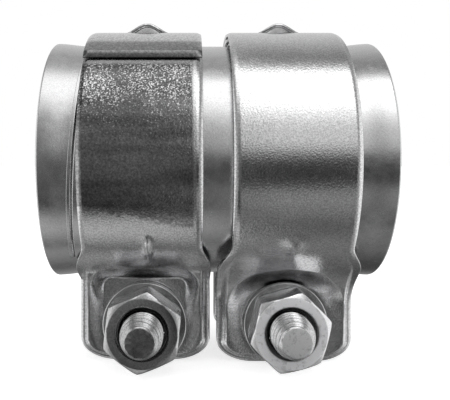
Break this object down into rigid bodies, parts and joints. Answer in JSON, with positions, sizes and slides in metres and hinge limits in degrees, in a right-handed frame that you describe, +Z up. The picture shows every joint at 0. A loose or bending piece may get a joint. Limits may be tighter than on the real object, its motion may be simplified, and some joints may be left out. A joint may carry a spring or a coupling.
{
  "type": "pipe repair clamp",
  "caption": "Double pipe repair clamp: a slotted steel sleeve held by paired band clamps with drawn ears, bolts, washers and nuts.",
  "frame": {"origin": "centre of the sleeve's bore, halfway along it", "axes": "+X along the pipe, +Z up away from the bolts, nuts towards -Y"},
  "size_m": [0.08, 0.0662, 0.0859],
  "materials": {
    "sleeve_zinc": "zinc-plated rolled steel, satin",
    "band_zinc": "bright zinc-plated stamped steel with a speckled grain",
    "washer_zinc": "bright zinc plate",
    "nut_zinc": "bright zinc plate",
    "bolt_zinc": "zinc-plated rolled thread"
  },
  "bodies": {
    "sleeve": {"sleeve": "sleeve_zinc"},
    "left_band": {"left_band_outer_half": "band_zinc", "left_band_inner_half": "band_zinc"},
    "left_liner": {"left_liner": "sleeve_zinc"},
    "left_bolt": {"left_bolt": "bolt_zinc", "left_head_washer": "washer_zinc"},
    "left_nut_washer": {"left_nut_washer": "washer_zinc"},
    "left_nut": {"left_nut": "nut_zinc"},
    "right_band": {"right_band_outer_half": "band_zinc", "right_band_inner_half": "band_zinc"},
    "right_liner": {"right_liner": "sleeve_zinc"},
    "right_bolt": {"right_bolt": "bolt_zinc", "right_head_washer": "washer_zinc"},
    "right_nut_washer": {"right_nut_washer": "washer_zinc"},
    "right_nut": {"right_nut": "nut_zinc"}
  },
  "joints": [
    {"name": "left_band_turn", "type": "hinge", "parent": "sleeve", "child": "left_band", "pos_m": [-0.0171, 0, 0], "axis": [1, 0, 0], "continuous": true},
    {"name": "left_liner_shift", "type": "slide", "parent": "left_band", "child": "left_liner", "axis": [1, 0, 0], "range_m": [-0.0004, 0.0023]},
    {"name": "left_bolt_turn", "type": "hinge", "parent": "left_band", "child": "left_bolt", "pos_m": [-0.0171, 0, -0.04], "axis": [0, -1, 0], "continuous": true},
    {"name": "left_nut_travel", "type": "slide", "parent": "left_bolt", "child": "left_nut_washer", "axis": [0, -1, 0], "range_m": [0, 0.006]},
    {"name": "left_nut_turn", "type": "hinge", "parent": "left_nut_washer", "child": "left_nut", "pos_m": [-0.0171, -0.0199, -0.04], "axis": [0, -1, 0], "range_deg": [0, 1440.5]},
    {"name": "right_band_turn", "type": "hinge", "parent": "sleeve", "child": "right_band", "pos_m": [0.0171, 0, 0], "axis": [1, 0, 0], "continuous": true},
    {"name": "right_liner_shift", "type": "slide", "parent": "right_band", "child": "right_liner", "axis": [1, 0, 0], "range_m": [-0.001, 0.0003]},
    {"name": "right_bolt_turn", "type": "hinge", "parent": "right_band", "child": "right_bolt", "pos_m": [0.0171, 0, -0.04], "axis": [0, -1, 0], "continuous": true},
    {"name": "right_nut_travel", "type": "slide", "parent": "right_bolt", "child": "right_nut_washer", "axis": [0, -1, 0], "range_m": [0, 0.006]},
    {"name": "right_nut_turn", "type": "hinge", "parent": "right_nut_washer", "child": "right_nut", "pos_m": [0.0171, -0.0199, -0.04], "axis": [0, -1, 0], "range_deg": [0, 1440.5]}
  ],
  "couplings": [
    {"joint": "left_nut_turn", "follows": "left_nut_travel", "rad_per_m": 4188.8},
    {"joint": "right_nut_turn", "follows": "right_nut_travel", "rad_per_m": 4188.8}
  ]
}
